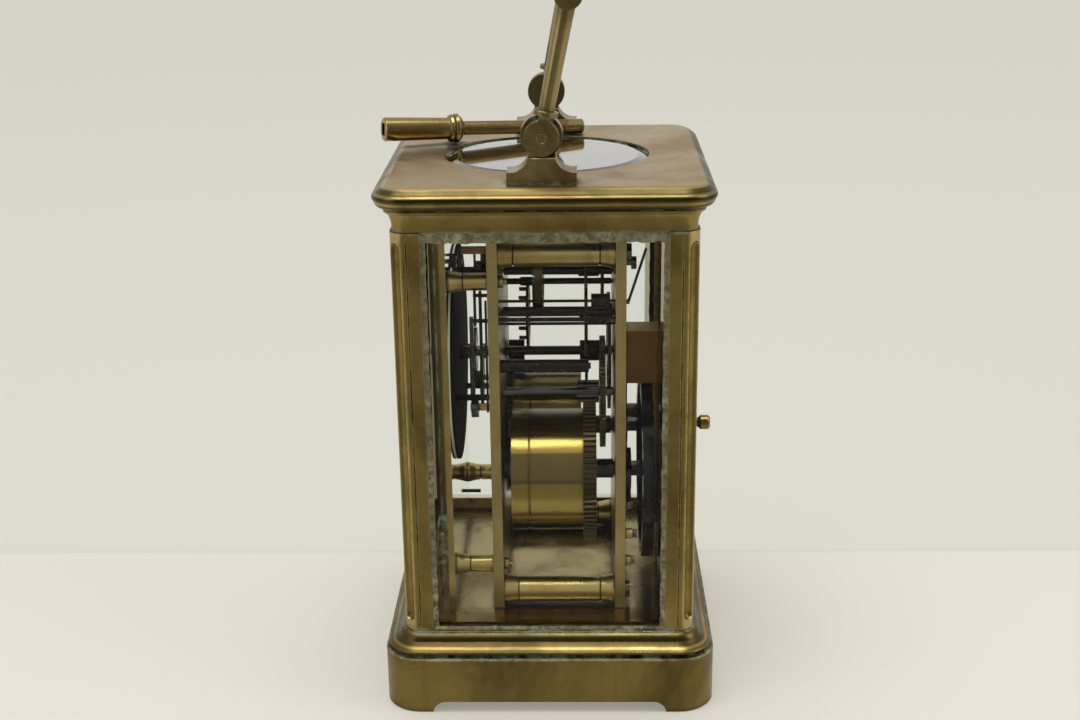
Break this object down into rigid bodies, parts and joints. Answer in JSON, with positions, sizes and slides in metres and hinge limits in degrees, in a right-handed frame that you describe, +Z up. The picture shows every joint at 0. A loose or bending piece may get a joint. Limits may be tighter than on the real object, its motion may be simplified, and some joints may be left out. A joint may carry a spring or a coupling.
{
  "type": "carriage clock",
  "caption": "Brass carriage clock with bevelled glass sides, a folding handle, a hinged rear door, a visible striking movement and a winding key lying on its top.",
  "frame": {"origin": "middle of the case at the level of its feet", "axes": "+X to the right of the case seen from the dial side, -Y where the dial faces, +Y where the door faces, +Z up"},
  "size_m": [0.0886, 0.0854, 0.1821],
  "materials": {
    "case_brass": "aged lacquered brass with darker patches",
    "movement_brass": "brushed brass",
    "gilt_brass": "satin gilt brass",
    "gilt_mask": "frosted gilt brass",
    "key_brass": "worn brass",
    "steel": "dark polished steel",
    "blued_steel": "blued steel",
    "enamel": "white enamel",
    "bevelled_glass": "clear bevelled glass"
  },
  "bodies": {
    "case": {"plinth": "case_brass", "base_moulding": "case_brass", "floor_plate": "movement_brass", "pillar_front_right": "case_brass", "pillar_front_left": "case_brass", "pillar_rear_right": "case_brass", "pillar_rear_left": "case_brass", "cornice": "case_brass", "top_glass": "bevelled_glass", "side_glass_right": "bevelled_glass", "side_glass_left": "bevelled_glass", "front_glass": "bevelled_glass", "case_screws": "case_brass", "bracket_right": "case_brass", "bracket_left": "case_brass", "handle_pins": "case_brass", "front_plate": "movement_brass", "back_plate": "movement_brass", "movement_pillars": "movement_brass", "plate_screws": "steel", "dial_mask": "gilt_mask", "dial": "enamel", "dial_pillars": "movement_brass", "platform": "gilt_brass", "escapement_cocks": "gilt_brass", "gong_block": "movement_brass", "gong_coil": "blued_steel", "balance_spring": "blued_steel"},
    "handle": {"handle_arm_right": "case_brass", "handle_arm_left": "case_brass", "handle_grip": "case_brass"},
    "door": {"door_frame": "case_brass", "door_glass": "bevelled_glass", "door_knob": "case_brass", "door_pins": "case_brass"},
    "key": {"winding_key": "key_brass"},
    "going_barrel": {"going_barrel": "movement_brass"},
    "intermediate": {"intermediate_wheel": "movement_brass"},
    "centre": {"centre_wheel": "movement_brass"},
    "third": {"third_wheel": "movement_brass"},
    "contrate": {"contrate_wheel": "movement_brass"},
    "escape": {"escape_wheel": "movement_brass"},
    "lever": {"pallet_lever": "steel"},
    "balance": {"balance": "gilt_brass"},
    "strike_barrel": {"strike_barrel": "movement_brass"},
    "strike_second": {"strike_second_wheel": "movement_brass"},
    "pin_wheel": {"pin_wheel": "movement_brass"},
    "warning": {"warning_wheel": "movement_brass"},
    "fly": {"fly": "movement_brass"},
    "going_winding": {"going_barrel_arbor": "steel"},
    "strike_winding": {"strike_barrel_arbor": "steel"},
    "going_click": {"going_click": "steel"},
    "strike_click": {"strike_click": "steel"},
    "minute": {"cannon_pinion": "steel", "minute_hand": "blued_steel"},
    "hour": {"hour_wheel": "movement_brass", "hour_hand": "blued_steel"},
    "minute_wheel": {"minute_wheel": "movement_brass"},
    "rack": {"rack_lever": "steel"},
    "hammer": {"hammer": "steel"}
  },
  "joints": [
    {"name": "handle_fold", "type": "hinge", "parent": "case", "child": "handle", "pos_m": [0, -0.0005, 0.1463], "axis": [1, 0, 0], "range_deg": [-78.7, 98]},
    {"name": "door_swing", "type": "hinge", "parent": "case", "child": "door", "pos_m": [-0.02985, 0.0349, 0.0732], "axis": [0, 0, 1], "range_deg": [0, 100]},
    {"name": "key_lift", "type": "slide", "parent": "case", "child": "key", "axis": [0, 0, 1], "range_m": [0, 0.02]},
    {"name": "contrate_turn", "type": "hinge", "parent": "case", "child": "contrate", "pos_m": [0, 0.0026, 0.1048], "axis": [0, 1, 0], "continuous": true},
    {"name": "escape_turn", "type": "hinge", "parent": "case", "child": "escape", "pos_m": [0, -0.00479, 0.12325], "axis": [0, 0, 1], "continuous": true},
    {"name": "third_turn", "type": "hinge", "parent": "case", "child": "third", "pos_m": [0.00996, 0.0026, 0.09676], "axis": [0, 1, 0], "continuous": true},
    {"name": "centre_turn", "type": "hinge", "parent": "case", "child": "centre", "pos_m": [0, 0.0026, 0.0828], "axis": [0, 1, 0], "continuous": true},
    {"name": "intermediate_turn", "type": "hinge", "parent": "case", "child": "intermediate", "pos_m": [0.01563, 0.0026, 0.07693], "axis": [0, 1, 0], "continuous": true},
    {"name": "going_barrel_turn", "type": "hinge", "parent": "case", "child": "going_barrel", "pos_m": [0.016, 0.0026, 0.05575], "axis": [0, 1, 0], "continuous": true},
    {"name": "lever_rock", "type": "hinge", "parent": "case", "child": "lever", "pos_m": [0, 0.00121, 0.12325], "axis": [0, 0, 1], "range_deg": [-4, 4]},
    {"name": "balance_swing", "type": "hinge", "parent": "case", "child": "balance", "pos_m": [0, 0.00901, 0.12325], "axis": [0, 0, 1], "range_deg": [-135, 135], "stiffness_Nm_per_rad": 0.000003},
    {"name": "warning_turn", "type": "hinge", "parent": "case", "child": "warning", "pos_m": [-0.0145, 0.0026, 0.0978], "axis": [0, 1, 0], "continuous": true},
    {"name": "fly_turn", "type": "hinge", "parent": "case", "child": "fly", "pos_m": [-0.02, 0.0026, 0.10418], "axis": [0, 1, 0], "continuous": true},
    {"name": "pin_wheel_turn", "type": "hinge", "parent": "case", "child": "pin_wheel", "pos_m": [-0.0175, 0.0026, 0.08783], "axis": [0, 1, 0], "continuous": true},
    {"name": "strike_second_turn", "type": "hinge", "parent": "case", "child": "strike_second", "pos_m": [-0.019, 0.0026, 0.07672], "axis": [0, 1, 0], "continuous": true},
    {"name": "strike_barrel_turn", "type": "hinge", "parent": "case", "child": "strike_barrel", "pos_m": [-0.016, 0.0026, 0.05575], "axis": [0, 1, 0], "continuous": true},
    {"name": "going_wind", "type": "hinge", "parent": "case", "child": "going_winding", "pos_m": [0.016, 0.0196, 0.05575], "axis": [0, 1, 0], "continuous": true},
    {"name": "strike_wind", "type": "hinge", "parent": "case", "child": "strike_winding", "pos_m": [-0.016, 0.0196, 0.05575], "axis": [0, 1, 0], "continuous": true},
    {"name": "going_click_lift", "type": "hinge", "parent": "case", "child": "going_click", "pos_m": [0.0206, 0.0196, 0.04715], "axis": [0, 1, 0], "range_deg": [-12, 0]},
    {"name": "strike_click_lift", "type": "hinge", "parent": "case", "child": "strike_click", "pos_m": [-0.0206, 0.0196, 0.04715], "axis": [0, 1, 0], "range_deg": [0, 12]},
    {"name": "minute_turn", "type": "hinge", "parent": "case", "child": "minute", "pos_m": [0, -0.0193, 0.0828], "axis": [0, 1, 0], "continuous": true},
    {"name": "hour_turn", "type": "hinge", "parent": "case", "child": "hour", "pos_m": [0, -0.0193, 0.0828], "axis": [0, 1, 0], "continuous": true},
    {"name": "minute_wheel_turn", "type": "hinge", "parent": "case", "child": "minute_wheel", "pos_m": [0.00556, -0.0193, 0.07743], "axis": [0, 1, 0], "continuous": true},
    {"name": "rack_swing", "type": "hinge", "parent": "case", "child": "rack", "pos_m": [0.0175, -0.0193, 0.0735], "axis": [0, 1, 0], "range_deg": [-8, 4], "stiffness_Nm_per_rad": 0.001},
    {"name": "hammer_swing", "type": "hinge", "parent": "case", "child": "hammer", "pos_m": [-0.0246, 0.0196, 0.07275], "axis": [0, 1, 0], "range_deg": [-2, 9], "stiffness_Nm_per_rad": 0.004}
  ],
  "couplings": [
    {"joint": "escape_turn", "follows": "contrate_turn", "ratio": -10},
    {"joint": "third_turn", "follows": "contrate_turn", "ratio": -0.13333},
    {"joint": "centre_turn", "follows": "contrate_turn", "ratio": 0.016667},
    {"joint": "intermediate_turn", "follows": "contrate_turn", "ratio": -0.0030702},
    {"joint": "going_barrel_turn", "follows": "contrate_turn", "ratio": 0.00046053},
    {"joint": "fly_turn", "follows": "warning_turn", "ratio": -8.5714},
    {"joint": "pin_wheel_turn", "follows": "warning_turn", "ratio": -0.12121},
    {"joint": "strike_second_turn", "follows": "warning_turn", "ratio": 0.015152},
    {"joint": "strike_barrel_turn", "follows": "warning_turn", "ratio": -0.0022727},
    {"joint": "minute_wheel_turn", "follows": "minute_turn", "ratio": -0.33333},
    {"joint": "hour_turn", "follows": "minute_turn", "ratio": 0.083333}
  ]
}
